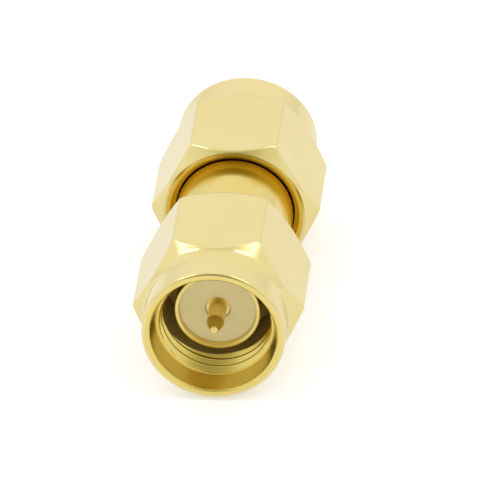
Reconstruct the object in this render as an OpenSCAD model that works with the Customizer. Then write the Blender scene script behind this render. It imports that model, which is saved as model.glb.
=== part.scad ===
// Male-to-male coax adapter: two hexagonal coupling nuts that turn freely on one turned body.
// The axis lies along Y, with the front end at -Y. The origin is the middle of the axis.
// Millimetres, +Z up. Both nuts lie with a flat up and a flat down.
// Outlines are half sections (r, h): r is the distance from the axis, h the distance from the middle.

/* [Overall] */
// Length over the rims of both nuts
overall_l = 21.2; // [20.4:0.1:24]
// Distance from a nut's rim back to the end of the sleeve
interface_recess = 2.54; // [2.2:0.02:2.8]

/* [Coupling nut] */
// Width across the flats
nut_af = 8.0; // [7.8:0.1:8.6]
// Length from the back face to the rim
nut_l = 8.45; // [8:0.05:9]
// How far the six corners of the hexagon are turned down
corner_trim = 0.055; // [0.02:0.005:0.2]
// Width of the rim, from the counterbore to the outside of the round collar
rim_w = 0.445; // [0.3:0.005:0.48]
// Length of the collar, from its cone to the rim
collar_l = 2.15; // [1.5:0.05:2.6]
// Angle between the axis and the cone that leads from the collar to the hexagon
front_cone_angle = 37; // [30:1:50]
// Radius of the fillet between the collar and that cone
collar_fillet_r = 0.6; // [0.2:0.05:0.9]
// How far inside the flats the back chamfer meets the back face
back_chamfer_inset = 0.15; // [0.08:0.01:0.2]
// Width of the flat ring on the back face, between its chamfer and its countersink
back_land_w = 0.15; // [0.08:0.01:0.25]
// Angle between the axis and the back chamfer
back_cone_angle = 45; // [35:1:60]
// Radius on the outer edge of the rim
rim_edge_r = 0.15; // [0.05:0.01:0.25]
// Chamfer on the inner edge of the rim
rim_chamfer = 0.08; // [0.02:0.01:0.12]

/* [Nut bore] */
// Major diameter of the thread
thread_major_d = 6.35; // [6.3:0.01:6.4]
// Radial depth of the thread, which leaves the minor diameter as the bore
thread_depth = 0.25; // [0.22:0.005:0.35]
// Length of the thread, with its lead-in
thread_l = 1.9; // [1.4:0.05:3]
// Chamfer that leads into the thread
lead_in = 0.1; // [0.05:0.05:0.35]
// Radial step from the thread out to the smooth counterbore, at its mouth
counterbore_step = 0.195; // [0.1:0.005:0.24]
// Depth of the counterbore
counterbore_l = 1.25; // [0.4:0.05:1.4]
// Angle between the axis and the counterbore's tapered wall
counterbore_angle = 13; // [2:1:15]
// Depth of the countersink on the back face
countersink_l = 0.55; // [0.2:0.05:0.7]
// Radial gap between the nut's bore and the barrel
nut_clearance = 0.12; // [0.1:0.01:0.25]

/* [Body] */
// Diameter of the barrel between the nuts
barrel_d = 6.2; // [6.05:0.05:6.3]
// Radial step from the barrel in to the neck that the retaining ring snaps over
neck_step = 0.32; // [0.26:0.01:0.4]
// Length of the neck
neck_l = 0.8; // [0.5:0.05:1.2]
// Angle between the axis and the cone that leads from the sleeve to the neck
neck_cone_angle = 45; // [30:1:60]
// Outside diameter of the sleeve that enters the mating connector
sleeve_d = 4.58; // [4.48:0.01:4.6]
// Wall of the sleeve, round the bore that holds the dielectric
sleeve_wall = 0.22; // [0.18:0.01:0.3]
// Chamfer on the sleeve's outer edge
sleeve_chamfer = 0.06; // [0.02:0.01:0.1]

/* [Dielectric and contact] */
// Depth of the dielectric's face below the end of the sleeve
dielectric_recess = 0.35; // [0.05:0.05:0.5]
// Diameter of the contact inside the dielectric
contact_d = 1.33; // [1.2:0.01:1.4]
// Depth of the contact's shoulder below the dielectric's face
shoulder_recess = 0.1; // [0.05:0.05:0.3]
// Diameter of the collar that holds the contact between the two dielectric beads
captive_d = 1.9; // [1.6:0.1:2.4]
// Length of that collar
captive_l = 1.6; // [1:0.1:3]
// Diameter of the pin
pin_d = 0.93; // [0.88:0.01:0.98]
// How far the pin stands out past the end of the sleeve
pin_l = 1.95; // [1.8:0.05:2.3]
// Length of the pin's tapered end
pin_cone_l = 0.8; // [0.5:0.05:1]
// Diameter of the flat at the pin's tip
pin_tip_d = 0.4; // [0.3:0.05:0.6]
// Radial gap left round the pieces that are pressed into the body
seat_clearance = 0.02; // [0.01:0.01:0.03]

/* [Retaining ring] */
// Thickness of the ring along the axis
ring_t = 0.6; // [0.4:0.05:0.8]
// How far the ring reaches past the neck on its inside and past the nut's bore on its outside
ring_bite = 0.14; // [0.1:0.01:0.2]
// Room for the ring along the axis, on each side
ring_play = 0.1; // [0.08:0.01:0.15]
// Radial gap between the ring and the floor of its groove in the body
ring_floor_clearance = 0.2; // [0.15:0.01:0.22]
// Radial room in the nut's groove, beyond the bite, for the ring to spread as it snaps over the neck
ring_spread_room = 0.04; // [0.02:0.01:0.06]
// Width of the slot in the ring
ring_slot = 1.2; // [0.8:0.1:2]
// Distance from the nut's back face to the ring's groove
ring_seat = 1.75; // [1.4:0.05:2.2]

/* [Hidden] */
$fn = 96;
GOLD = [0.92, 0.84, 0.58];
CONTACT_GOLD = [0.78, 0.65, 0.30];
SPRING_BRONZE = [0.72, 0.55, 0.32];
FLUOROPOLYMER = [0.88, 0.82, 0.66];
// How far a cutter reaches past the face that it opens
cut = 0.5;

// Places along the axis, from the middle out to the rim
rim_h = overall_l / 2;
face_h = rim_h - interface_recess;
back_h = rim_h - nut_l;
groove_start_h = back_h + ring_seat;
groove_end_h = groove_start_h + ring_t + 2 * ring_play;
neck_end_h = groove_end_h + neck_l;
thread_start_h = rim_h - counterbore_l;
thread_end_h = thread_start_h - thread_l;
bead_face_h = face_h - dielectric_recess;
shoulder_h = bead_face_h - shoulder_recess;
pin_tip_h = face_h + pin_l;

// Radii that follow from the driving sizes
hexagon_r = nut_af / 2 / cos(30);
corner_r = hexagon_r - corner_trim;
thread_major_r = thread_major_d / 2;
thread_minor_r = thread_major_r - thread_depth;
counterbore_r = thread_major_r + counterbore_step;
counterbore_floor_r = counterbore_r - (counterbore_l - rim_chamfer) * tan(counterbore_angle);
collar_r = counterbore_r + rim_w;
back_land_r = nut_af / 2 - back_chamfer_inset;
countersink_r = back_land_r - back_land_w;
barrel_r = barrel_d / 2;
nut_bore_r = barrel_r + nut_clearance;
sleeve_r = sleeve_d / 2;
neck_r = barrel_r - neck_step;
body_bore_r = sleeve_r - sleeve_wall;
dielectric_r = body_bore_r - seat_clearance;
ring_inner_r = neck_r - ring_bite;
ring_outer_r = nut_bore_r + ring_bite;
body_groove_r = ring_inner_r - ring_floor_clearance;
nut_groove_r = ring_outer_r + ring_bite + ring_spread_room;

// Axial length of a cone that changes the radius by dr, at an angle from the axis
function cone_l(dr, angle) = dr / tan(angle);

// The same outline points on the other side of the middle, in the order that closes the outline
function mirrored(points) = [for (i = [len(points) - 1 : -1 : 0]) [points[i][0], -points[i][1]]];

// Turns a piece that stands along +Z so that it points to the front end
module to_front() {
    rotate([90, 0, 0]) children();
}

// Turns a piece that stands along +Z so that it points to the rear end
module to_rear() {
    rotate([-90, 0, 0]) children();
}

// Turned shell: barrel, ring groove, neck and sleeve at each end, with one bore right through
module outer_body() {
    half = [
        [barrel_r, groove_start_h],
        [body_groove_r, groove_start_h],
        [body_groove_r, groove_end_h],
        [neck_r, groove_end_h],
        [neck_r, neck_end_h],
        [sleeve_r, neck_end_h + cone_l(neck_r - sleeve_r, neck_cone_angle)],
        [sleeve_r, face_h - sleeve_chamfer],
        [sleeve_r - sleeve_chamfer, face_h],
        [body_bore_r, face_h]
    ];
    color(GOLD)
        to_front()
            rotate_extrude() polygon(concat(half, mirrored(half)));
}

// Half of the dielectric, with a pocket at the middle for the contact's collar
module dielectric_bead() {
    contact_hole_r = contact_d / 2 + seat_clearance;
    pocket_r = captive_d / 2 + seat_clearance;
    pocket_h = captive_l / 2 + seat_clearance;
    color(FLUOROPOLYMER)
        rotate_extrude() polygon([
            [pocket_r, 0],
            [dielectric_r, 0],
            [dielectric_r, bead_face_h],
            [contact_hole_r, bead_face_h],
            [contact_hole_r, pocket_h],
            [pocket_r, pocket_h]
        ]);
}

module front_dielectric_bead() {
    to_front() dielectric_bead();
}

module rear_dielectric_bead() {
    to_rear() dielectric_bead();
}

// Double-ended contact: a collar at the middle, and a tapered pin at each end
module center_contact() {
    half = [
        [captive_d / 2, captive_l / 2],
        [contact_d / 2, captive_l / 2],
        [contact_d / 2, shoulder_h],
        [pin_d / 2, shoulder_h],
        [pin_d / 2, pin_tip_h - pin_cone_l],
        [pin_tip_d / 2, pin_tip_h],
        [0, pin_tip_h]
    ];
    color(CONTACT_GOLD)
        to_front()
            rotate_extrude() polygon(concat(half, mirrored(half)));
}

// Half section of the turned blank: back chamfer, cone, fillet, collar and rounded rim edge
module nut_blank_section() {
    collar_start_h = rim_h - collar_l;
    fillet_l = collar_fillet_r * tan(front_cone_angle / 2);
    cone_direction = [sin(front_cone_angle), -cos(front_cone_angle)];
    fillet_corner = [collar_r, collar_start_h];
    polygon([
        [0, back_h],
        [back_land_r, back_h],
        [corner_r, back_h + cone_l(corner_r - back_land_r, back_cone_angle)],
        [corner_r, collar_start_h - cone_l(corner_r - collar_r, front_cone_angle)],
        [collar_r, collar_start_h],
        [collar_r, rim_h - rim_edge_r],
        [collar_r - rim_edge_r, rim_h],
        [0, rim_h]
    ]);
    translate([collar_r - rim_edge_r, rim_h - rim_edge_r]) circle(r = rim_edge_r);
    difference() {
        polygon([fillet_corner, fillet_corner + fillet_l * cone_direction, fillet_corner + [0, fillet_l]]);
        translate(fillet_corner + [collar_fillet_r, fillet_l]) circle(r = collar_fillet_r);
    }
}

// Half section of what is bored out of the nut: countersink, rear bore, ring groove, thread and counterbore
module nut_bore_section() {
    countersink_slope = (countersink_r - nut_bore_r) / countersink_l;
    polygon([
        [0, back_h - cut],
        [countersink_r + cut * countersink_slope, back_h - cut],
        [nut_bore_r, back_h + countersink_l],
        [nut_bore_r, groove_start_h],
        [nut_groove_r, groove_start_h],
        [nut_groove_r, groove_end_h],
        [nut_bore_r, groove_end_h],
        [nut_bore_r, thread_end_h],
        [thread_minor_r, thread_end_h],
        [thread_minor_r, thread_start_h - lead_in],
        [thread_minor_r + lead_in, thread_start_h],
        [counterbore_floor_r, thread_start_h],
        [counterbore_r, rim_h - rim_chamfer],
        [counterbore_r + rim_chamfer + cut, rim_h + cut],
        [0, rim_h + cut]
    ]);
}

// Coupling nut: a chamfered hexagon with a round collar in front, bored through in steps
module coupling_nut() {
    color(GOLD)
        difference() {
            intersection() {
                translate([0, 0, back_h]) cylinder(r = hexagon_r, h = nut_l, $fn = 6);
                rotate_extrude() nut_blank_section();
            }
            rotate_extrude() nut_bore_section();
        }
}

module front_coupling_nut() {
    to_front() coupling_nut();
}

module rear_coupling_nut() {
    to_rear() coupling_nut();
}

// Slotted snap ring that sits half in the nut's groove and half in the body's groove
module retaining_ring() {
    color(SPRING_BRONZE)
        translate([0, 0, groove_start_h + ring_play])
            difference() {
                cylinder(r = ring_outer_r, h = ring_t);
                translate([0, 0, -cut]) cylinder(r = ring_inner_r, h = ring_t + 2 * cut);
                translate([-ring_slot / 2, 0, -cut]) cube([ring_slot, ring_outer_r + cut, ring_t + 2 * cut]);
            }
}

module front_retaining_ring() {
    to_front() retaining_ring();
}

module rear_retaining_ring() {
    to_rear() retaining_ring();
}

outer_body();
front_dielectric_bead();
rear_dielectric_bead();
center_contact();
front_coupling_nut();
front_retaining_ring();
rear_coupling_nut();
rear_retaining_ring();
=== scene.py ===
"""Looks of a gold-plated coax adapter: two threaded coupling nuts on one turned body.

The adapter lies along Y with its front end at -Y, and lengths are in metres. A half section is a row of
points (r, h): r is the distance from the axis, h the distance from the middle of the adapter towards an end.
A piece of one end is made standing along +Z, and then turned to point out of its end.
"""

import logging
import math
from collections.abc import Iterable, Sequence
from dataclasses import dataclass
from enum import Enum
from functools import cached_property

import bmesh
import bpy
import numpy as np
from mathutils import Matrix, Vector


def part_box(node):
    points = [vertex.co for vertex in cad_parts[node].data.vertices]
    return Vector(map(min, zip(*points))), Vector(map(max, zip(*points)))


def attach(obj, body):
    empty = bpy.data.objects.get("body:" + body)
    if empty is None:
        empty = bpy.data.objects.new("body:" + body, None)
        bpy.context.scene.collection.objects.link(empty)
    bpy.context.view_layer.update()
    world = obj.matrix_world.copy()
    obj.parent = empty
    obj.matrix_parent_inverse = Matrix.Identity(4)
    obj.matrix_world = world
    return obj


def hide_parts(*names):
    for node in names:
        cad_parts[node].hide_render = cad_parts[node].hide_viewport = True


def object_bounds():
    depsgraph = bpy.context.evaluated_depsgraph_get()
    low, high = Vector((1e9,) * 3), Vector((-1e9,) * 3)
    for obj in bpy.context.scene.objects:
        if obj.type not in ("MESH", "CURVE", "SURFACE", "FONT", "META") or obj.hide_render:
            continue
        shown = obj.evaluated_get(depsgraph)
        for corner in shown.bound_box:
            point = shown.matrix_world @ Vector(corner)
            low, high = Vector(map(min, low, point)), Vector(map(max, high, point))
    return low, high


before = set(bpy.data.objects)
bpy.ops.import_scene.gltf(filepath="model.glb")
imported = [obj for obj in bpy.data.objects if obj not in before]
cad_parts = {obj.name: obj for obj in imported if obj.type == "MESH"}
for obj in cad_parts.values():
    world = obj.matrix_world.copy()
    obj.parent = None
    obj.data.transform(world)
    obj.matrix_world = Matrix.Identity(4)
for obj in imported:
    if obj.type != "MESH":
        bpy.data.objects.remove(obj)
cad_low, cad_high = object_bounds()

LOG = logging.getLogger("coax_adapter")
MM = 0.001
IMAGE_PIXELS = 480
SHARP_ANGLE = math.radians(40)
# Distance of the extra points that keep the shading of a plain face free of its rounded edges
GUARD = 0.008 * MM
# Points this close become one, edges this short go, and lengths this near count as equal
MERGE_GAP = 0.0002 * MM
LEAST_EDGE = 0.0001 * MM
SAME_LENGTH = 0.000001 * MM
WHITE = (1.0, 1.0, 1.0, 1.0)
# Places of a Mix node's inputs, its share and then what it mixes, and of the mixed colour
MIX_NUMBERS = (0, 2, 3)
MIX_COLOURS = (0, 6, 7)
MIXED_COLOUR = 2

Rgb = tuple[float, float, float]
Value = float | int | tuple | Vector | bpy.types.NodeSocket


class End(Enum):
    """The two ends of the adapter."""

    FRONT = "front"
    REAR = "rear"

    @property
    def turn(self) -> Matrix:
        """Rotation that lays a piece standing along +Z so that it points out of this end."""
        quarter = math.pi / 2
        return Matrix.Rotation(quarter if self is End.FRONT else -quarter, 4, "X")


class Slot(Enum):
    """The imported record's material slots that the built pieces take."""

    GOLD_PLATE = "gold_plate"
    CONTACT_GOLD = "contact_gold"
    DIELECTRIC = "dielectric"


class Mask(Enum):
    """Point attributes that tell a material where it is on a piece."""

    FLAT = "on_flat"
    EDGE = "on_edge"
    BORE = "in_bore"
    # Deep recesses, where the finish lifts the shade with painted light
    DEEP = "in_depth"


class NodeSheet:
    """Adds nodes to a tree and wires them."""

    def __init__(self, tree: bpy.types.NodeTree) -> None:
        """Keeps the tree that the nodes go into."""
        self.tree = tree

    def add(
        self, kind: str, inputs: dict[str | int, Value] | None = None, **settings: object
    ) -> bpy.types.Node:
        """Adds one node.

        Args:
            kind: Blender's name for the kind of node.
            inputs: a value or another node's output for each input, by name or index.
            settings: the node's own options.

        Returns:
            The new node.
        """
        node = self.tree.nodes.new(kind)
        for key, value in settings.items():
            setattr(node, key, value)
        for key, value in (inputs or {}).items():
            self.feed(node.inputs[key], value)
        return node

    def feed(self, socket: bpy.types.NodeSocket, value: Value) -> None:
        """Gives a socket a fixed value or another node's output.

        Args:
            socket: the input to set.
            value: a number, a colour, a vector or an output socket.
        """
        if isinstance(value, bpy.types.NodeSocket):
            self.tree.links.new(value, socket)
        else:
            socket.default_value = value

    def math(self, operation: str, *values: Value) -> bpy.types.NodeSocket:
        """Adds a Math node.

        Args:
            operation: the node's operation.
            values: its operands.

        Returns:
            The result's socket.
        """
        return self.add("ShaderNodeMath", dict(enumerate(values)), operation=operation).outputs[0]

    def clamp(self, value: Value, low: Value, high: Value) -> bpy.types.NodeSocket:
        """Adds a Clamp node.

        Args:
            value: the number to hold.
            low: its least value.
            high: its greatest value.

        Returns:
            The result's socket.
        """
        return self.add("ShaderNodeClamp", {"Value": value, "Min": low, "Max": high}).outputs[0]

    def mix_colour(self, share: Value, first: Value, second: Value) -> bpy.types.NodeSocket:
        """Adds a colour mix.

        Args:
            share: how much of the second colour shows, from 0 to 1.
            first: the colour at 0.
            second: the colour at 1.

        Returns:
            The mixed colour's socket.
        """
        inputs = dict(zip(MIX_COLOURS, (share, first, second)))
        return self.add("ShaderNodeMix", inputs, data_type="RGBA").outputs[MIXED_COLOUR]

    def mix_value(self, share: Value, first: Value, second: Value) -> bpy.types.NodeSocket:
        """Adds a mix of two numbers.

        Args:
            share: how much of the second number shows, from 0 to 1.
            first: the number at 0.
            second: the number at 1.

        Returns:
            The mixed number's socket.
        """
        inputs = dict(zip(MIX_NUMBERS, (share, first, second)))
        return self.add("ShaderNodeMix", inputs, data_type="FLOAT").outputs[0]

    def noise(
        self, place: Value, scale: Value, detail: float, dimensions: str = "3D"
    ) -> bpy.types.NodeSocket:
        """Adds a noise texture.

        Args:
            place: where on the piece it is read.
            scale: its features in a metre.
            detail: how many finer layers it has.
            dimensions: the node's name for the number of axes that it varies along.

        Returns:
            The socket of the noise's value.
        """
        inputs = {"Vector": place, "Scale": scale, "Detail": detail}
        return self.add("ShaderNodeTexNoise", inputs, noise_dimensions=dimensions).outputs[0]

    def group(self, tree: bpy.types.NodeTree, inputs: dict[str, Value]) -> bpy.types.NodeSocket:
        """Places a shader node group.

        Args:
            tree: the group.
            inputs: a value or another node's output for each of its inputs.

        Returns:
            The socket of the group's only output.
        """
        return self.add("ShaderNodeGroup", inputs, node_tree=tree).outputs[0]

    def mask(self, mask: Mask) -> bpy.types.NodeSocket:
        """Reads one of the piece's point attributes."""
        return self.add("ShaderNodeAttribute", attribute_name=mask.value).outputs["Fac"]


def open_interface(
    tree: bpy.types.NodeTree, inputs: Sequence[tuple[str, str]], outputs: Sequence[tuple[str, str]]
) -> tuple[bpy.types.Node, bpy.types.Node]:
    """Gives a node group its named sockets.

    Args:
        tree: the node group.
        inputs: name and socket type of each input.
        outputs: name and socket type of each output.

    Returns:
        The group's input node and output node.
    """
    for direction, sockets in (("INPUT", inputs), ("OUTPUT", outputs)):
        for name, kind in sockets:
            tree.interface.new_socket(name, in_out=direction, socket_type=kind)
    return tree.nodes.new("NodeGroupInput"), tree.nodes.new("NodeGroupOutput")


@dataclass(frozen=True)
class Effects:
    """Surface effects that more than one finish uses, each a shader node group that is built once."""

    mark_detail: float = 2.0
    patch_detail: float = 3.0
    # Values of the noise at which a patch starts and is full
    patch_start: float = 0.35
    patch_full: float = 0.65

    @cached_property
    def turned_marks(self) -> bpy.types.NodeTree:
        """Fine rings that a lathe leaves, the same all the way round the axis.

        Returns:
            The group.
        """
        tree = bpy.data.node_groups.new("turned_marks", "ShaderNodeTree")
        given, result = open_interface(
            tree,
            [("Position", "NodeSocketVector"), ("Rings per metre", "NodeSocketFloat")],
            [("Height", "NodeSocketFloat")],
        )
        sheet = NodeSheet(tree)
        place = sheet.add("ShaderNodeSeparateXYZ", {0: given.outputs["Position"]}).outputs
        across, up = (sheet.math("POWER", place[axis], 2.0) for axis in ("X", "Z"))
        from_axis = sheet.math("SQRT", sheet.math("ADD", across, up))
        section = sheet.add("ShaderNodeCombineXYZ", {"X": from_axis, "Y": place["Y"]}).outputs[0]
        rings = sheet.noise(section, given.outputs["Rings per metre"], self.mark_detail, "2D")
        sheet.feed(result.inputs["Height"], rings)
        return tree

    @cached_property
    def drawn_marks(self) -> bpy.types.NodeTree:
        """Faint lines along the axis, left on the flats by the bar that the nut was cut from.

        Returns:
            The group.
        """
        tree = bpy.data.node_groups.new("drawn_marks", "ShaderNodeTree")
        given, result = open_interface(
            tree,
            [
                ("Position", "NodeSocketVector"),
                ("Lines per metre", "NodeSocketFloat"),
                ("Stretch", "NodeSocketFloat"),
            ],
            [("Height", "NodeSocketFloat")],
        )
        sheet = NodeSheet(tree)
        place = sheet.add("ShaderNodeSeparateXYZ", {0: given.outputs["Position"]}).outputs
        along = sheet.math("DIVIDE", place["Y"], given.outputs["Stretch"])
        stretched = sheet.add("ShaderNodeCombineXYZ", {"X": place["X"], "Y": along, "Z": place["Z"]})
        lines = sheet.noise(stretched.outputs[0], given.outputs["Lines per metre"], self.mark_detail)
        sheet.feed(result.inputs["Height"], lines)
        return tree

    @cached_property
    def patches(self) -> bpy.types.NodeTree:
        """Soft cloudy patches, for a tone that isn't quite the same all over.

        Returns:
            The group.
        """
        tree = bpy.data.node_groups.new("soft_patches", "ShaderNodeTree")
        given, result = open_interface(
            tree,
            [("Position", "NodeSocketVector"), ("Patches per metre", "NodeSocketFloat")],
            [("Share", "NodeSocketFloat")],
        )
        sheet = NodeSheet(tree)
        clouds = sheet.noise(
            given.outputs["Position"], given.outputs["Patches per metre"], self.patch_detail
        )
        spread = sheet.add(
            "ShaderNodeMapRange",
            {"Value": clouds, "From Min": self.patch_start, "From Max": self.patch_full},
        )
        sheet.feed(result.inputs["Share"], spread.outputs[0])
        return tree


def open_material(name: str) -> tuple[bpy.types.Material, NodeSheet, bpy.types.Node]:
    """Starts a material.

    Args:
        name: the material's name.

    Returns:
        The material, the sheet that its nodes go on, and its surface shader.
    """
    made = bpy.data.materials.new(name)
    made.use_nodes = True
    return made, NodeSheet(made.node_tree), made.node_tree.nodes["Principled BSDF"]


def cloudy(sheet: NodeSheet, share: Value, roughness: float, spread: float) -> bpy.types.NodeSocket:
    """Varies a roughness with the patches.

    Args:
        sheet: the material's nodes.
        share: how far a patch shows, from 0 to 1.
        roughness: the mean roughness.
        spread: the range of the roughness, as a share of the mean.

    Returns:
        The roughness's socket.
    """
    return sheet.math("MULTIPLY_ADD", share, spread * roughness, (1 - spread / 2) * roughness)


@dataclass(frozen=True)
class MetalFinish:
    """Plated or plain metal with tool marks: rings where it was turned, lines along its flats.

    A bore can have a roughness of its own, because it isn't polished as the outside is, and a richer tone;
    the outside's paler tone is painted sheen.
    Deep inside, the metal turns paler, duller and partly matt: painted light that lifts the shade in the
    recesses.
    """

    name: str
    colour: Rgb
    patch_colour: Rgb
    bore_colour: Rgb
    roughness: float
    edge_roughness: float
    bore_roughness: float
    ring_depth: float
    line_depth: float
    # Paler, partly matt finish deep inside: painted light that lifts the shade in the recesses
    deep_shade_lift_colour: Rgb = (0.85, 0.72, 0.28)
    deep_roughness: float = 0.5
    deep_metallic: float = 0.55
    rings_per_metre: float = 9000.0
    lines_per_metre: float = 4500.0
    line_stretch: float = 40.0
    patches_per_metre: float = 260.0
    roughness_spread: float = 0.3

    def material(self, effects: Effects) -> bpy.types.Material:
        """Makes the material.

        Args:
            effects: the shared surface effects.

        Returns:
            The new material.
        """
        made, sheet, shader = open_material(self.name)
        place = sheet.add("ShaderNodeTexCoord").outputs["Object"]
        on_flat, on_edge, in_bore, in_depth = (sheet.mask(mask) for mask in Mask)
        # Deep inside the metal is less metallic, so its paler colour scatters painted light into the shade
        sheet.feed(shader.inputs["Metallic"], sheet.mix_value(in_depth, 1.0, self.deep_metallic))

        share = sheet.group(
            effects.patches, {"Position": place, "Patches per metre": self.patches_per_metre}
        )
        outside = sheet.mix_colour(share, (*self.colour, 1), (*self.patch_colour, 1))
        # The deep colour is painted light: paler than the bore's, it lifts the shade deep inside
        inside = sheet.mix_colour(in_depth, (*self.bore_colour, 1), (*self.deep_shade_lift_colour, 1))
        sheet.feed(shader.inputs["Base Color"], sheet.mix_colour(in_bore, outside, inside))

        uneven = cloudy(sheet, share, self.roughness, self.roughness_spread)
        worn = sheet.mix_value(on_edge, uneven, self.edge_roughness)
        dull = sheet.mix_value(in_depth, self.bore_roughness, self.deep_roughness)
        sheet.feed(shader.inputs["Roughness"], sheet.mix_value(in_bore, worn, dull))

        rings = sheet.group(
            effects.turned_marks, {"Position": place, "Rings per metre": self.rings_per_metre}
        )
        lines = sheet.group(
            effects.drawn_marks,
            {"Position": place, "Lines per metre": self.lines_per_metre, "Stretch": self.line_stretch},
        )
        height = sheet.mix_value(
            on_flat,
            sheet.math("MULTIPLY", rings, self.ring_depth / MM),
            sheet.math("MULTIPLY", lines, self.line_depth / MM),
        )
        bump = sheet.add("ShaderNodeBump", {"Height": height, "Distance": MM})
        sheet.feed(shader.inputs["Normal"], bump.outputs[0])
        return made


@dataclass(frozen=True)
class WaxyPlastic:
    """Smooth, slightly cloudy fluoropolymer with the rings of a facing cut."""

    name: str
    colour: Rgb
    patch_colour: Rgb
    roughness: float
    ring_depth: float
    rings_per_metre: float = 7000.0
    patches_per_metre: float = 700.0
    roughness_spread: float = 0.2

    def material(self, effects: Effects) -> bpy.types.Material:
        """Makes the material.

        Args:
            effects: the shared surface effects.

        Returns:
            The new material.
        """
        made, sheet, shader = open_material(self.name)
        place = sheet.add("ShaderNodeTexCoord").outputs["Object"]

        share = sheet.group(
            effects.patches, {"Position": place, "Patches per metre": self.patches_per_metre}
        )
        tone = sheet.mix_colour(share, (*self.colour, 1), (*self.patch_colour, 1))
        sheet.feed(shader.inputs["Base Color"], tone)
        uneven = cloudy(sheet, share, self.roughness, self.roughness_spread)
        sheet.feed(shader.inputs["Roughness"], uneven)

        rings = sheet.group(
            effects.turned_marks, {"Position": place, "Rings per metre": self.rings_per_metre}
        )
        height = sheet.math("MULTIPLY", rings, self.ring_depth / MM)
        bump = sheet.add("ShaderNodeBump", {"Height": height, "Distance": MM})
        sheet.feed(shader.inputs["Normal"], bump.outputs[0])
        return made


@dataclass(frozen=True)
class Corner:
    """Corner of a half section, with the radius that softens it."""

    r: float
    h: float
    soft: float = 0.0
    steps: int = 6
    worn: bool = True


@dataclass(frozen=True)
class Outline:
    """Points of a softened half section, and how far each lies on a worn edge."""

    points: np.ndarray
    edge: np.ndarray


def soften(corners: Sequence[Corner], closed: bool) -> Outline:
    """Rounds the corners of a half section.

    Args:
        corners: the corners in order.
        closed: whether the last corner joins the first. Otherwise both ends stay as they are.

    Returns:
        The outline's points, with an arc at each corner that has a radius.
    """
    points: list[np.ndarray] = []
    edge: list[float] = []
    count = len(corners)
    spots = [np.array((c.r, c.h)) for c in corners]
    for index, corner in enumerate(corners):
        spot = spots[index]
        if corner.soft == 0.0 or (not closed and index in (0, count - 1)):
            points.append(spot)
            edge.append(0.0)
            continue
        back = spots[index - 1] - spot
        ahead = spots[(index + 1) % count] - spot
        back /= np.linalg.norm(back)
        ahead /= np.linalg.norm(ahead)
        half = math.acos(float(np.clip(back @ ahead, -1, 1))) / 2
        reach = corner.soft / math.tan(half)
        center = spot + (back + ahead) / np.linalg.norm(back + ahead) * corner.soft / math.sin(half)
        first, last = spot + back * reach - center, spot + ahead * reach - center
        sweep = math.pi - 2 * half
        points.append(spot + back * (reach + GUARD))
        edge.append(0.0)
        # The arc turns round its centre, from where the outline comes in to where it goes on
        for step in range(corner.steps + 1):
            share = step / corner.steps
            blend = math.sin((1 - share) * sweep) * first + math.sin(share * sweep) * last
            points.append(center + blend / math.sin(sweep))
            edge.append(float(corner.worn) * math.sin(share * math.pi))
        points.append(spot + ahead * (reach + GUARD))
        edge.append(0.0)
    return Outline(np.array(points), np.array(edge))


def mirrored(corners: Sequence[Corner]) -> list[Corner]:
    """The same corners on the other side of the middle, in the order that goes on from the first ones."""
    return [Corner(c.r, -c.h, c.soft, c.steps, c.worn) for c in reversed(corners)]


def skin_mesh(
    name: str, points: np.ndarray, closed: bool, masks: dict[Mask, Sequence[np.ndarray]]
) -> bpy.types.Mesh:
    """Covers a grid of points with faces. The columns always go right round the axis.

    Args:
        name: the mesh's name.
        points: the grid, by column and then along the outline.
        closed: whether the outline's end joins its start.
        masks: values of the point attributes, as rows in the grid's order.

    Returns:
        The new mesh.
    """
    columns, stations, _ = points.shape
    faces = []
    for column in range(columns):
        here, there = column * stations, (column + 1) % columns * stations
        for station in range(stations if closed else stations - 1):
            after = (station + 1) % stations
            faces.append((here + station, there + station, there + after, here + after))
    mesh = bpy.data.meshes.new(name)
    mesh.from_pydata(points.reshape(-1, 3).tolist(), [], faces)
    for mask, values in masks.items():
        mesh.attributes.new(mask.value, "FLOAT", "POINT").data.foreach_set("value", np.ravel(values))
    return mesh


def close_up(mesh: bpy.types.Mesh, solid: bmesh.types.BMesh) -> None:
    """Merges doubles, points the faces outwards, and shades a finished piece.

    Args:
        mesh: takes the result.
        solid: the piece's faces. It is freed here.
    """
    bmesh.ops.remove_doubles(solid, verts=solid.verts, dist=MERGE_GAP)
    bmesh.ops.dissolve_degenerate(solid, edges=solid.edges, dist=LEAST_EDGE)
    bmesh.ops.recalc_face_normals(solid, faces=solid.faces)
    solid.to_mesh(mesh)
    solid.free()
    mesh.shade_smooth()
    mesh.set_sharp_from_angle(angle=SHARP_ANGLE)


def fill_ring(
    solid: bmesh.types.BMesh, outer: Sequence[bmesh.types.BMVert], inner: Sequence[bmesh.types.BMVert]
) -> None:
    """Fills the flat ring between two loops round the axis with triangles.

    Args:
        solid: the piece that both loops are in.
        outer: the points of one loop, in any order.
        inner: the points of the other loop, in any order.
    """

    def bearing(vert: bmesh.types.BMVert) -> float:
        """Angle of a point round the axis."""
        return math.atan2(vert.co.y, vert.co.x)

    loops = [sorted(outer, key=bearing), sorted(inner, key=bearing)]
    done = [0, 0]
    for _ in range(len(outer) + len(inner)):
        ahead = []
        for loop, count in zip(loops, done):
            laps, index = divmod(count + 1, len(loop))
            ahead.append(bearing(loop[index]) + laps * 2 * math.pi)
        side = ahead.index(min(ahead))
        corners = [loop[count % len(loop)] for loop, count in zip(loops, done)]
        corners.append(loops[side][(done[side] + 1) % len(loops[side])])
        solid.faces.new(corners)
        done[side] += 1


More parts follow.
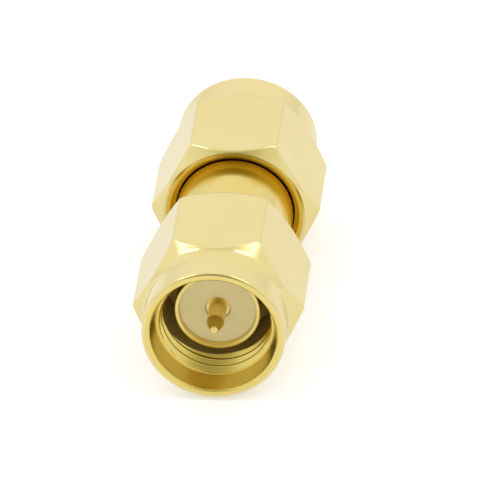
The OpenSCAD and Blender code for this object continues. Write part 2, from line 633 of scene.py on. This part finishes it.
def place_piece(
    mesh: bpy.types.Mesh, material: bpy.types.Material, body: str, node: str
) -> None:
    """Adds a finished piece to the scene in place of its CAD node.

    Args:
        mesh: the piece's mesh, in its place.
        material: its finish.
        body: the CAD body that it moves with.
        node: the CAD node that it stands for.
    """
    mesh.materials.clear()
    mesh.materials.append(material)
    piece = bpy.data.objects.new(mesh.name, mesh)
    bpy.context.scene.collection.objects.link(piece)
    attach(piece, body)
    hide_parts(node)
    LOG.info("%s stands for %s on %s, with %d faces", piece.name, node, body, len(mesh.polygons))


def revolve(
    name: str,
    corners: Sequence[Corner],
    closed: bool,
    columns: int = 144,
    deep: tuple[float, float] = (math.inf, math.inf),
) -> bpy.types.Mesh:
    """Turns a softened half section round the axis.

    Args:
        name: the mesh's name.
        corners: the half section.
        closed: whether the outline's end joins its start, as on a tube.
        columns: number of steps round the axis.
        deep: distances from the middle between which it lies deep inside another piece.

    Returns:
        A closed mesh that stands along +Z.
    """
    outline = soften(corners, closed)
    angles = np.linspace(0, 2 * math.pi, columns, endpoint=False)
    r, h = outline.points.T
    points = np.stack(
        (np.outer(np.cos(angles), r), np.outer(np.sin(angles), r), np.outer(np.ones(columns), h)), axis=-1
    )
    inside = [((np.abs(h) > deep[0]) & (np.abs(h) < deep[1])).astype(float)] * columns
    masks = {Mask.EDGE: [outline.edge] * columns, Mask.BORE: inside, Mask.DEEP: inside}
    mesh = skin_mesh(name, points, closed, masks)
    solid = bmesh.new()
    solid.from_mesh(mesh)
    close_up(mesh, solid)
    return mesh


@dataclass(frozen=True)
class ThreadCut:
    """Internal thread, wound from one strip of its profile by geometry nodes and trimmed to its length.

    The strip is one pitch wide and runs for several turns. Its points stay at the thread's mouth or end where
    they would pass it, so that the strip's loose turns shrink to nothing there.
    """

    major_r: float
    depth: float
    pitch: float
    mouth_h: float
    end_h: float
    lead_in: float
    # Turn of the thread round the axis, as a share of a pitch
    phase: float = 0.76
    turns: int = 6
    steps_a_turn: int = 120
    profile_steps: int = 32
    # Shares of a pitch: the crest's half width, and each flank
    crest_half: float = 2.5 / 32
    flank: float = 9 / 32
    merge_gap: float = 0.001 * MM

    @cached_property
    def tree(self) -> bpy.types.NodeTree:
        """Node tree that winds the strip, with the thread's sizes as named inputs.

        Returns:
            The tree.
        """
        tree = bpy.data.node_groups.new("internal_thread", "GeometryNodeTree")
        lengths = ["Major radius", "Depth", "Pitch", "Mouth", "End", "Lead-in", "Shift"]
        given, result = open_interface(
            tree,
            [(name, "NodeSocketFloat") for name in lengths] + [("Material", "NodeSocketMaterial")],
            [("Geometry", "NodeSocketGeometry")],
        )
        sheet = NodeSheet(tree)
        size = given.outputs
        strip = sheet.add(
            "GeometryNodeMeshGrid",
            {
                "Size X": float(self.turns),
                "Size Y": 1.0,
                "Vertices X": self.turns * self.steps_a_turn + 1,
                "Vertices Y": self.profile_steps + 1,
            },
        )
        position = sheet.add("GeometryNodeInputPosition").outputs[0]
        on_strip = sheet.add("ShaderNodeSeparateXYZ", {0: position}).outputs
        both_ends = sheet.math("ADD", size["Mouth"], size["End"])
        middle = sheet.math("MULTIPLY_ADD", both_ends, 0.5, size["Shift"])
        climb = sheet.math("ADD", on_strip["X"], on_strip["Y"])
        untrimmed = sheet.math("MULTIPLY_ADD", climb, size["Pitch"], middle)
        height = sheet.clamp(untrimmed, size["End"], size["Mouth"])

        climbed = sheet.math("DIVIDE", sheet.math("SUBTRACT", height, middle), size["Pitch"])
        across = sheet.math("WRAP", sheet.math("SUBTRACT", climbed, on_strip["X"]), 0.5, -0.5)
        to_root = sheet.math("SUBTRACT", self.crest_half + self.flank, sheet.math("ABSOLUTE", across))
        ridge = sheet.clamp(sheet.math("DIVIDE", to_root, self.flank), 0.0, 1.0)
        raised = sheet.math("MULTIPLY", ridge, size["Depth"])
        in_thread = sheet.math("SUBTRACT", size["Major radius"], raised)
        minor = sheet.math("SUBTRACT", size["Major radius"], size["Depth"])
        below_mouth = sheet.math("SUBTRACT", size["Mouth"], height)
        lip = sheet.math("ADD", minor, size["Lead-in"])
        running_out = sheet.math("MINIMUM", in_thread, sheet.math("ADD", lip, below_mouth))
        radius = sheet.math("MAXIMUM", running_out, sheet.math("SUBTRACT", lip, below_mouth))

        angle = sheet.math("MULTIPLY", on_strip["X"], 2 * math.pi)
        wound = sheet.add(
            "ShaderNodeCombineXYZ",
            {
                "X": sheet.math("MULTIPLY", radius, sheet.math("COSINE", angle)),
                "Y": sheet.math("MULTIPLY", radius, sheet.math("SINE", angle)),
                "Z": height,
            },
        )
        shape = strip.outputs[0]
        for kind, inputs in (
            ("GeometryNodeSetPosition", {"Position": wound.outputs[0]}),
            ("GeometryNodeFlipFaces", {}),
            ("GeometryNodeMergeByDistance", {"Distance": self.merge_gap}),
            ("GeometryNodeRealizeInstances", {}),
            ("GeometryNodeSetMaterial", {"Material": size["Material"]}),
        ):
            shape = sheet.add(kind, {0: shape, **inputs}).outputs[0]
        sheet.feed(result.inputs["Geometry"], shape)
        return tree

    def mesh(self, material: bpy.types.Material) -> bpy.types.Mesh:
        """Winds the thread.

        Args:
            material: the finish that the tree sets.

        Returns:
            A plain mesh of the thread's surface, open at its mouth and its end.
        """
        values = {
            "Major radius": self.major_r,
            "Depth": self.depth,
            "Pitch": self.pitch,
            "Mouth": self.mouth_h,
            "End": self.end_h,
            "Lead-in": self.lead_in,
            "Shift": self.phase * self.pitch,
            "Material": material,
        }
        carrier = bpy.data.objects.new("thread_carrier", bpy.data.meshes.new("thread_carrier"))
        bpy.context.scene.collection.objects.link(carrier)
        winding = carrier.modifiers.new("winding", "NODES")
        winding.node_group = self.tree
        for item in self.tree.interface.items_tree:
            if item.in_out == "INPUT":
                winding[item.identifier] = values[item.name]
        evaluated = carrier.evaluated_get(bpy.context.evaluated_depsgraph_get())
        wound = bpy.data.meshes.new_from_object(evaluated)
        carrier.modifiers.remove(winding)
        bpy.data.objects.remove(carrier)
        return wound


def rotation(angle: float) -> np.ndarray:
    """Matrix that turns points of a plane by an angle in radians."""
    c, s = math.cos(angle), math.sin(angle)
    return np.array(((c, -s), (s, c)))


@dataclass(frozen=True)
class CouplingNut:
    """Hexagonal coupling nut with a round collar, a counterbore and a threaded mouth."""

    end: End
    across_flats: float
    rim_h: float
    back_h: float
    hex_edge_soft: float = 0.36 * MM
    front_crease_soft: float = 0.09 * MM
    back_crease_soft: float = 0.36 * MM
    collar_r: float = 3.815 * MM
    collar_l: float = 2.15 * MM
    front_cone: float = math.radians(37)
    # The collar sweeps into the cone: the sweep's greatest radius, and its greatest share of the cone
    sweep_r: float = 1.2 * MM
    sweep_share: float = 0.8
    back_land_r: float = 3.85 * MM
    back_cone: float = math.radians(45)
    countersink_r: float = 3.7 * MM
    countersink_l: float = 0.44 * MM
    countersink_bend_r: float = 3.5 * MM
    countersink_bend_l: float = 0.13 * MM
    countersink_soft: float = 0.1 * MM
    rim_soft: float = 0.2 * MM
    rim_chamfer: float = 0.08 * MM
    counterbore_r: float = 3.37 * MM
    counterbore_l: float = 1.25 * MM
    counterbore_cone: float = math.radians(13)
    bore_r: float = 3.22 * MM
    groove_r: float = 3.54 * MM
    groove_start: float = 1.75 * MM
    groove_l: float = 0.8 * MM
    thread_major_r: float = 3.175 * MM
    thread_depth: float = 0.25 * MM
    thread_pitch: float = 25.4 / 36 * MM
    thread_l: float = 1.9 * MM
    lead_in: float = 0.1 * MM
    small_soft: float = 0.03 * MM

    @classmethod
    def in_frame(cls, end: End) -> "CouplingNut":
        """Takes a nut's main sizes from its CAD node.

        Args:
            end: the end that the nut is on.

        Returns:
            The nut.
        """
        low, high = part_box(f"{end.value}_coupling_nut")
        near, far = sorted((abs(low.y), abs(high.y)))
        return cls(end, across_flats=high.z - low.z, rim_h=far, back_h=near)

    @property
    def mouth_h(self) -> float:
        """Height of the counterbore's floor, where the thread starts."""
        return self.rim_h - self.counterbore_l

    @property
    def thread_end_h(self) -> float:
        """Height at which the thread ends, inside."""
        return self.mouth_h - self.thread_l

    def section(self, hex_r: float) -> list[Corner]:
        """Half section of the nut from its counterbore's floor, round the outside, to the thread's inner end.

        Args:
            hex_r: the hexagon's distance from the axis in the section's direction.

        Returns:
            The section's corners.
        """
        collar_start = self.rim_h - self.collar_l
        cone_rise = hex_r - self.collar_r
        front_crease = collar_start - cone_rise / math.tan(self.front_cone)
        cone_l = cone_rise / math.sin(self.front_cone)
        sweep = min(self.sweep_r, self.sweep_share * cone_l / math.tan(self.front_cone / 2))
        back_crease = self.back_h + (hex_r - self.back_land_r) / math.tan(self.back_cone)
        # The skin stops just outside the thread's lip, so that a narrow ring joins them
        lip_r = self.thread_major_r - self.thread_depth + self.lead_in + 2 * GUARD
        taper_l = self.counterbore_l - self.rim_chamfer
        floor_r = self.counterbore_r - taper_l * math.tan(self.counterbore_cone)
        groove_near = self.back_h + self.groove_start
        groove_far = groove_near + self.groove_l
        small = self.small_soft
        return [
            Corner(lip_r, self.mouth_h),
            Corner(floor_r, self.mouth_h, small, worn=False),
            Corner(self.counterbore_r, self.rim_h - self.rim_chamfer, small),
            Corner(self.counterbore_r + self.rim_chamfer, self.rim_h, small),
            Corner(self.collar_r, self.rim_h, self.rim_soft, steps=8),
            Corner(self.collar_r, collar_start, sweep, steps=10, worn=False),
            Corner(hex_r, front_crease, self.front_crease_soft),
            Corner(hex_r, back_crease, self.back_crease_soft),
            Corner(self.back_land_r, self.back_h, small),
            Corner(self.countersink_r, self.back_h, small),
            Corner(self.countersink_bend_r, self.back_h + self.countersink_bend_l, self.countersink_soft),
            Corner(self.bore_r, self.back_h + self.countersink_l, small),
            Corner(self.bore_r, groove_near, small),
            Corner(self.groove_r, groove_near),
            Corner(self.groove_r, groove_far),
            Corner(self.bore_r, groove_far, small),
            Corner(self.bore_r, self.thread_end_h),
        ]

    def hexagon(self, flat_steps: int = 22, arc_steps: int = 12) -> tuple[np.ndarray, np.ndarray]:
        """Outline of the hexagon with its long edges rounded.

        Args:
            flat_steps: number of steps along each flat.
            arc_steps: number of steps round each edge.

        Returns:
            The outline's points, and how far each lies on a rounded edge.
        """
        soft = self.hex_edge_soft
        half_sixth = math.pi / 6
        center_r = (self.across_flats / 2 - soft) / math.cos(half_sixth)
        half_flat = center_r / 2
        arc = np.linspace(-half_sixth, half_sixth, arc_steps + 1)
        along = np.linspace(-half_flat, half_flat, flat_steps + 1)[1:-1]
        guards = np.array((-half_flat + GUARD, half_flat - GUARD))
        along = np.sort(np.concatenate((along, guards)))
        edge_arc = np.column_stack((center_r + soft * np.cos(arc), soft * np.sin(arc)))
        flat = np.column_stack((np.full_like(along, self.across_flats / 2), along))
        turned_flat = flat @ rotation(half_sixth).T
        sixth = np.concatenate((edge_arc, turned_flat))
        worn = np.concatenate((np.cos(3 * arc), np.zeros(len(along))))
        turns = [sixth @ rotation(k * math.pi / 3).T for k in range(6)]
        return np.concatenate(turns), np.tile(worn, 6)

    def shell(self) -> bpy.types.Mesh:
        """Skin of the nut without its thread, open at the thread's mouth and at its inner end.

        Returns:
            A mesh that stands along +Z, with all its masks.
        """
        outline, worn = self.hexagon()
        reach = np.linalg.norm(outline, axis=1)
        inside_r = self.collar_r - self.rim_soft + GUARD
        # Between these heights the bore takes the finish that lifts its shade with painted light
        deep_start = self.back_h + self.countersink_l + self.small_soft
        deep_end = self.thread_end_h + GUARD
        rows = []
        masks: dict[Mask, list[np.ndarray]] = {mask: [] for mask in Mask}
        for (dx, dy), hex_r, hex_edge in zip(outline / reach[:, None], reach, worn):
            profile = soften(self.section(hex_r), closed=False)
            r, h = profile.points.T
            flat = np.isclose(r, hex_r, atol=SAME_LENGTH)
            inside = r < inside_r
            rows.append(np.column_stack((r * dx, r * dy, h)))
            masks[Mask.FLAT].append(flat.astype(float))
            masks[Mask.EDGE].append(np.maximum(profile.edge, flat * hex_edge))
            masks[Mask.BORE].append(inside.astype(float))
            masks[Mask.DEEP].append((inside & (deep_start < h) & (h < deep_end)).astype(float))
        return skin_mesh(f"{self.end.value}_hex_nut", np.array(rows), False, masks)

    def build(self, material: bpy.types.Material) -> None:
        """Joins the nut's skin to its thread and adds it to the scene.

        Args:
            material: the nut's finish.
        """
        cut = ThreadCut(
            major_r=self.thread_major_r,
            depth=self.thread_depth,
            pitch=self.thread_pitch,
            mouth_h=self.mouth_h,
            end_h=self.thread_end_h,
            lead_in=self.lead_in,
        )
        shell, thread = self.shell(), cut.mesh(material)
        solid = bmesh.new()
        solid.from_mesh(shell)
        solid.from_mesh(thread)
        solid.verts.index_update()
        in_bore = solid.verts.layers.float[Mask.BORE.value]
        for vert in solid.verts:
            if vert.index >= len(shell.vertices):
                vert[in_bore] = 1.0
        open_rims = [v for v in solid.verts if v.is_boundary]
        for h in (self.mouth_h, self.thread_end_h):
            ring = [v for v in open_rims if abs(v.co.z - h) < GUARD]
            on_shell = [v for v in ring if v.index < len(shell.vertices)]
            on_thread = [v for v in ring if v.index >= len(shell.vertices)]
            fill_ring(solid, on_shell, on_thread)
        close_up(shell, solid)
        shell.transform(self.end.turn)
        bpy.data.meshes.remove(thread)
        end = self.end.value
        place_piece(shell, material, f"{end}_nut", f"{end}_coupling_nut")


@dataclass(frozen=True)
class TurnedCore:
    """Turned body with its two insulators and the double pin that runs through them."""

    face_h: float
    barrel_r: float
    bead_h: float
    tip_h: float
    # Added to the CAD's barrel, because the gap round it in the nut's back is narrower on the real one
    barrel_extra_r: float = 0.07 * MM
    groove_start_h: float = 3.9 * MM
    groove_end_h: float = 4.7 * MM
    groove_r: float = 2.44 * MM
    neck_r: float = 2.78 * MM
    neck_end_h: float = 5.5 * MM
    sleeve_r: float = 2.29 * MM
    sleeve_root_h: float = 5.99 * MM
    sleeve_edge: float = 0.06 * MM
    bore_r: float = 2.07 * MM
    seat_gap: float = 0.02 * MM
    press_gap: float = 0.004 * MM
    contact_r: float = 0.665 * MM
    collar_r: float = 0.95 * MM
    collar_h: float = 0.8 * MM
    shoulder_depth: float = 0.1 * MM
    pin_r: float = 0.465 * MM
    pin_cone_l: float = 0.8 * MM
    pin_tip_r: float = 0.2 * MM
    small_soft: float = 0.03 * MM
    nut_reach_h: float = 2.6 * MM

    @classmethod
    def in_frame(cls) -> "TurnedCore":
        """Takes the core's main sizes from its CAD nodes.

        Returns:
            The core.
        """
        nodes = ("outer_body", "rear_dielectric_bead", "center_contact")
        shell, bead, pin = (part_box(node)[1] for node in nodes)
        return cls(face_h=shell.y, barrel_r=shell.z, bead_h=bead.y, tip_h=pin.y)

    def build_barrel(self, material: bpy.types.Material) -> None:
        """Adds the turned body: barrel, ring grooves, necks and sleeves.

        Args:
            material: the body's finish.
        """
        small = self.small_soft
        barrel_r = self.barrel_r + self.barrel_extra_r
        half = [
            Corner(barrel_r, self.nut_reach_h),
            Corner(barrel_r, self.groove_start_h, small),
            Corner(self.groove_r, self.groove_start_h),
            Corner(self.groove_r, self.groove_end_h),
            Corner(self.neck_r, self.groove_end_h, small),
            Corner(self.neck_r, self.neck_end_h, small),
            Corner(self.sleeve_r, self.sleeve_root_h, small, worn=False),
            Corner(self.sleeve_r, self.face_h, self.sleeve_edge),
            Corner(self.bore_r, self.face_h, small),
        ]
        # Between these heights the barrel takes the finish that lifts its shade with painted light
        deep = (self.nut_reach_h, self.face_h - 2 * self.sleeve_edge)
        mesh = revolve("turned_barrel", half + mirrored(half), closed=True, deep=deep)
        mesh.transform(End.FRONT.turn)
        place_piece(mesh, material, "core", "outer_body")

    def build_insulator(self, end: End, material: bpy.types.Material) -> None:
        """Adds one insulator, with the hole for the pin and the pocket for the pin's collar.

        Args:
            end: the end that it lies in.
            material: the insulator's finish.
        """
        outer = self.bore_r - self.press_gap
        hole = self.contact_r + self.press_gap
        pocket = self.collar_r + self.seat_gap
        pocket_h = self.collar_h + self.seat_gap
        corners = [
            Corner(pocket, 0.0),
            Corner(outer, 0.0),
            Corner(outer, self.bead_h, self.press_gap),
            Corner(hole, self.bead_h, self.small_soft),
            Corner(hole, pocket_h),
            Corner(pocket, pocket_h),
        ]
        mesh = revolve(f"{end.value}_insulator", corners, closed=True)
        mesh.transform(end.turn)
        place_piece(mesh, material, "core", f"{end.value}_dielectric_bead")

    def build_pin(self, material: bpy.types.Material) -> None:
        """Adds the double pin: a collar at the middle, and a tapered point at each end.

        Args:
            material: the pin's finish.
        """
        small = self.small_soft
        shoulder_h = self.bead_h - self.shoulder_depth
        half = [
            Corner(self.collar_r, self.collar_h, small),
            Corner(self.contact_r, self.collar_h),
            Corner(self.contact_r, shoulder_h, small),
            Corner(self.pin_r, shoulder_h),
            Corner(self.pin_r, self.tip_h - self.pin_cone_l, 2 * small),
            Corner(self.pin_tip_r, self.tip_h, 2 * small),
            Corner(0.0, self.tip_h),
        ]
        mesh = revolve("double_pin", mirrored(half) + half, closed=False, columns=96)
        mesh.transform(End.FRONT.turn)
        place_piece(mesh, material, "core", "center_contact")


@dataclass(frozen=True)
class SnapRing:
    """Slotted ring that holds a nut on the body. It stays as its CAD node."""

    end: End

    def dress(self, material: bpy.types.Material) -> None:
        """Gives the ring its finish.

        Args:
            material: spring bronze.
        """
        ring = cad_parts[f"{self.end.value}_retaining_ring"]
        ring.data.materials.clear()
        ring.data.materials.append(material)
        LOG.info("%s keeps its CAD shape and is dressed in %s", ring.name, material.name)


@dataclass(frozen=True)
class SoftBox:
    """Oblong soft lamp that faces the adapter."""

    name: str
    direction: Vector
    distance: float = 0.4
    width: float = 0.05
    height: float = 0.15
    radiance: float = 4.0

    def build(self) -> None:
        """Adds the lamp to the scene."""
        lamp = bpy.data.lights.new(self.name, "AREA")
        lamp.shape = "RECTANGLE"
        lamp.size, lamp.size_y = self.width, self.height
        lamp.energy = self.radiance * math.pi * self.width * self.height
        holder = bpy.data.objects.new(self.name, lamp)
        holder.location = self.direction.normalized() * self.distance
        holder.rotation_euler = self.direction.to_track_quat("Z", "Y").to_euler()
        bpy.context.scene.collection.objects.link(holder)


@dataclass(frozen=True)
class Viewpoint:
    """Camera of the picture: its direction in degrees, and the picture's middle beside the adapter's."""

    azimuth: float = 6.178
    elevation: float = 30.139
    roll: float = -2.214
    distance: float = 0.554
    pixels_per_metre: float = 18631.0
    middle_right: float = 0.4921 * MM
    middle_up: float = -0.2587 * MM

    def build(self) -> None:
        """Adds the camera and makes it the scene's."""
        a, e, turn = (math.radians(x) for x in (self.azimuth, self.elevation, self.roll))
        back = Vector((math.sin(a) * math.cos(e), -math.cos(a) * math.cos(e), math.sin(e)))
        level = Vector((math.cos(a), math.sin(a), 0.0))
        upright = back.cross(level)
        right = math.cos(turn) * level + math.sin(turn) * upright
        up = math.cos(turn) * upright - math.sin(turn) * level
        lens = bpy.data.cameras.new("camera")
        lens.lens = lens.sensor_width * self.distance * self.pixels_per_metre / IMAGE_PIXELS
        camera = bpy.data.objects.new("camera", lens)
        spot = back * self.distance + right * self.middle_right + up * self.middle_up
        camera.matrix_world = Matrix.Translation(spot) @ Matrix((right, up, back)).transposed().to_4x4()
        bpy.context.scene.collection.objects.link(camera)
        bpy.context.scene.camera = camera


@dataclass(frozen=True)
class Studio:
    """White surround: pale floor, soft lamps and even light from all sides."""

    floor_h: float
    floor_width: float = 4.0
    floor_colour: Rgb = (0.8, 0.8, 0.8)
    floor_glow: float = 0.35
    # In metal the floor is paler in its shadows
    floor_colour_in_metal: Rgb = (0.42, 0.42, 0.42)
    floor_glow_in_metal: float = 0.53
    ambient: float = 1.0
    # Brightness that metal sees at the horizon, and the rise (as a sine) at which it is full
    horizon: float = 0.87
    horizon_rise: float = 0.35
    # The open front of the surround: its direction, and the tone that metal sees by the cosine from it
    opening: Vector = Vector((0.0, -0.8, 0.6))
    opening_tones: tuple[tuple[float, Rgb], ...] = (
        (0.4, (1.0, 1.0, 1.0)),
        (0.65, (0.9, 0.9, 0.84)),
        (0.82, (0.82, 0.81, 0.66)),
        (0.91, (0.52, 0.5, 0.32)),
        (1.0, (0.34, 0.33, 0.18)),
    )
    boxes: tuple[SoftBox, ...] = (
        SoftBox("left_soft_box", Vector((-0.56, -0.1, 0.82))),
        SoftBox("right_soft_box", Vector((0.5, -0.15, 0.85))),
    )

    @staticmethod
    def rays(sheet: NodeSheet) -> tuple[bpy.types.NodeSocket, bpy.types.NodeSocket]:
        """Masks of the rays that show the surround.

        Args:
            sheet: the material or world that reads them.

        Returns:
            Two sockets, 1 for rays straight from the camera, and 1 for rays by way of metal or glass.
        """
        path = sheet.add("ShaderNodeLightPath").outputs
        reflected = sheet.math("MAXIMUM", path["Is Glossy Ray"], path["Is Transmission Ray"])
        return path["Is Camera Ray"], reflected

    def build_world(self) -> None:
        """Sets a white world, which metal sees as a white tent with an open, darker front."""
        world = bpy.data.worlds.new("surround")
        world.use_nodes = True
        sheet = NodeSheet(world.node_tree)
        sky = world.node_tree.nodes["Background"]
        towards = sheet.add("ShaderNodeTexCoord").outputs["Generated"]
        facing = sheet.add(
            "ShaderNodeVectorMath", {0: towards, 1: self.opening.normalized()}, operation="DOT_PRODUCT"
        ).outputs["Value"]
        tones = sheet.add("ShaderNodeValToRGB", {0: facing})
        stops = tones.color_ramp.elements
        while len(stops) < len(self.opening_tones):
            stops.new(1.0)
        for stop, (cosine, tone) in zip(stops, self.opening_tones):
            stop.position, stop.color = cosine, (*tone, 1.0)
        rise = sheet.add("ShaderNodeSeparateXYZ", {0: towards}).outputs["Z"]
        fade = sheet.add(
            "ShaderNodeMapRange", {"Value": rise, "From Max": self.horizon_rise, "To Min": self.horizon}
        ).outputs[0]
        direct, reflected = self.rays(sheet)
        sheet.feed(sky.inputs["Color"], sheet.mix_colour(reflected, WHITE, tones.outputs[0]))
        lit = sheet.mix_value(reflected, self.ambient, fade)
        sheet.feed(sky.inputs["Strength"], sheet.mix_value(direct, lit, 1.0))
        bpy.context.scene.world = world

    def build_floor(self) -> None:
        """Adds the floor, which shows white where nothing shades it."""
        material = bpy.data.materials.new("pale_floor")
        material.use_nodes = True
        material.node_tree.nodes.clear()
        sheet = NodeSheet(material.node_tree)
        direct, reflected = self.rays(sheet)
        tone = sheet.mix_colour(reflected, (*self.floor_colour, 1.0), (*self.floor_colour_in_metal, 1.0))
        matt = sheet.add("ShaderNodeBsdfDiffuse", {"Color": tone})
        glow = sheet.add("ShaderNodeEmission", {"Color": WHITE})
        in_metal = sheet.math("MULTIPLY", reflected, self.floor_glow_in_metal)
        sheet.feed(glow.inputs["Strength"], sheet.math("MULTIPLY_ADD", direct, self.floor_glow, in_metal))
        both = sheet.add("ShaderNodeAddShader", {0: matt.outputs[0], 1: glow.outputs[0]})
        sheet.add("ShaderNodeOutputMaterial", {"Surface": both.outputs[0]})
        reach = self.floor_width / 2
        mesh = bpy.data.meshes.new("floor")
        signs = ((-1, -1), (1, -1), (1, 1), (-1, 1))
        corners = [(x * reach, y * reach, self.floor_h) for x, y in signs]
        mesh.from_pydata(corners, [], [range(len(corners))])
        mesh.materials.append(material)
        floor = bpy.data.objects.new("floor", mesh)
        bpy.context.scene.collection.objects.link(floor)

    def build(self) -> None:
        """Sets the view transform, the world, the floor and the lamps."""
        bpy.context.scene.view_settings.view_transform = "Standard"
        self.build_world()
        self.build_floor()
        for box in self.boxes:
            box.build()


NUT_PLATING = MetalFinish(
    name="nut_gold",
    # The pale outside colour is painted sheen; the bore colour, also on the rim face, is the plating's richer
    # gold
    colour=(0.86, 0.725, 0.34),
    patch_colour=(0.84, 0.7, 0.305),
    bore_colour=(0.85, 0.685, 0.21),
    roughness=0.16,
    edge_roughness=0.12,
    bore_roughness=0.2,
    ring_depth=0.0006 * MM,
    line_depth=0.0006 * MM,
)
BARREL_PLATING = MetalFinish(
    name="barrel_gold",
    colour=(0.83, 0.66, 0.22),
    patch_colour=(0.81, 0.635, 0.195),
    bore_colour=(0.8, 0.61, 0.17),
    roughness=0.14,
    edge_roughness=0.12,
    bore_roughness=0.3,
    ring_depth=0.0006 * MM,
    line_depth=0.0,
)
PIN_PLATING = MetalFinish(
    name="pin_gold",
    colour=(0.84, 0.66, 0.23),
    patch_colour=(0.81, 0.62, 0.2),
    bore_colour=(0.84, 0.66, 0.23),
    roughness=0.32,
    edge_roughness=0.2,
    bore_roughness=0.24,
    ring_depth=0.0006 * MM,
    line_depth=0.0,
)
BRONZE = MetalFinish(
    name="spring_bronze",
    colour=(0.56, 0.42, 0.15),
    patch_colour=(0.5, 0.36, 0.12),
    bore_colour=(0.5, 0.36, 0.12),
    roughness=0.36,
    edge_roughness=0.32,
    bore_roughness=0.36,
    ring_depth=0.001 * MM,
    line_depth=0.0,
)
INSULATOR_WHITE = WaxyPlastic(
    name="waxy_fluoropolymer",
    # The plastic is white: the yellow in both colours is painted reflection of the gold round it
    colour=(0.97, 0.85, 0.45),
    patch_colour=(0.95, 0.82, 0.42),
    roughness=0.42,
    ring_depth=0.0008 * MM,
)


def main() -> None:
    """Builds the adapter and its studio in order."""
    logging.basicConfig(level=logging.INFO, format="%(name)s: %(message)s")
    Viewpoint().build()
    Studio(floor_h=cad_low.z).build()
    effects = Effects()
    nut_gold, barrel_gold, pin_gold, bronze, white = (
        finish.material(effects)
        for finish in (NUT_PLATING, BARREL_PLATING, PIN_PLATING, BRONZE, INSULATOR_WHITE)
    )
    for end in End:
        CouplingNut.in_frame(end).build(nut_gold)
    core = TurnedCore.in_frame()
    core.build_barrel(barrel_gold)
    for end in End:
        core.build_insulator(end, white)
    core.build_pin(pin_gold)
    for end in End:
        SnapRing(end).dress(bronze)


if __name__ == "__main__":
    main()
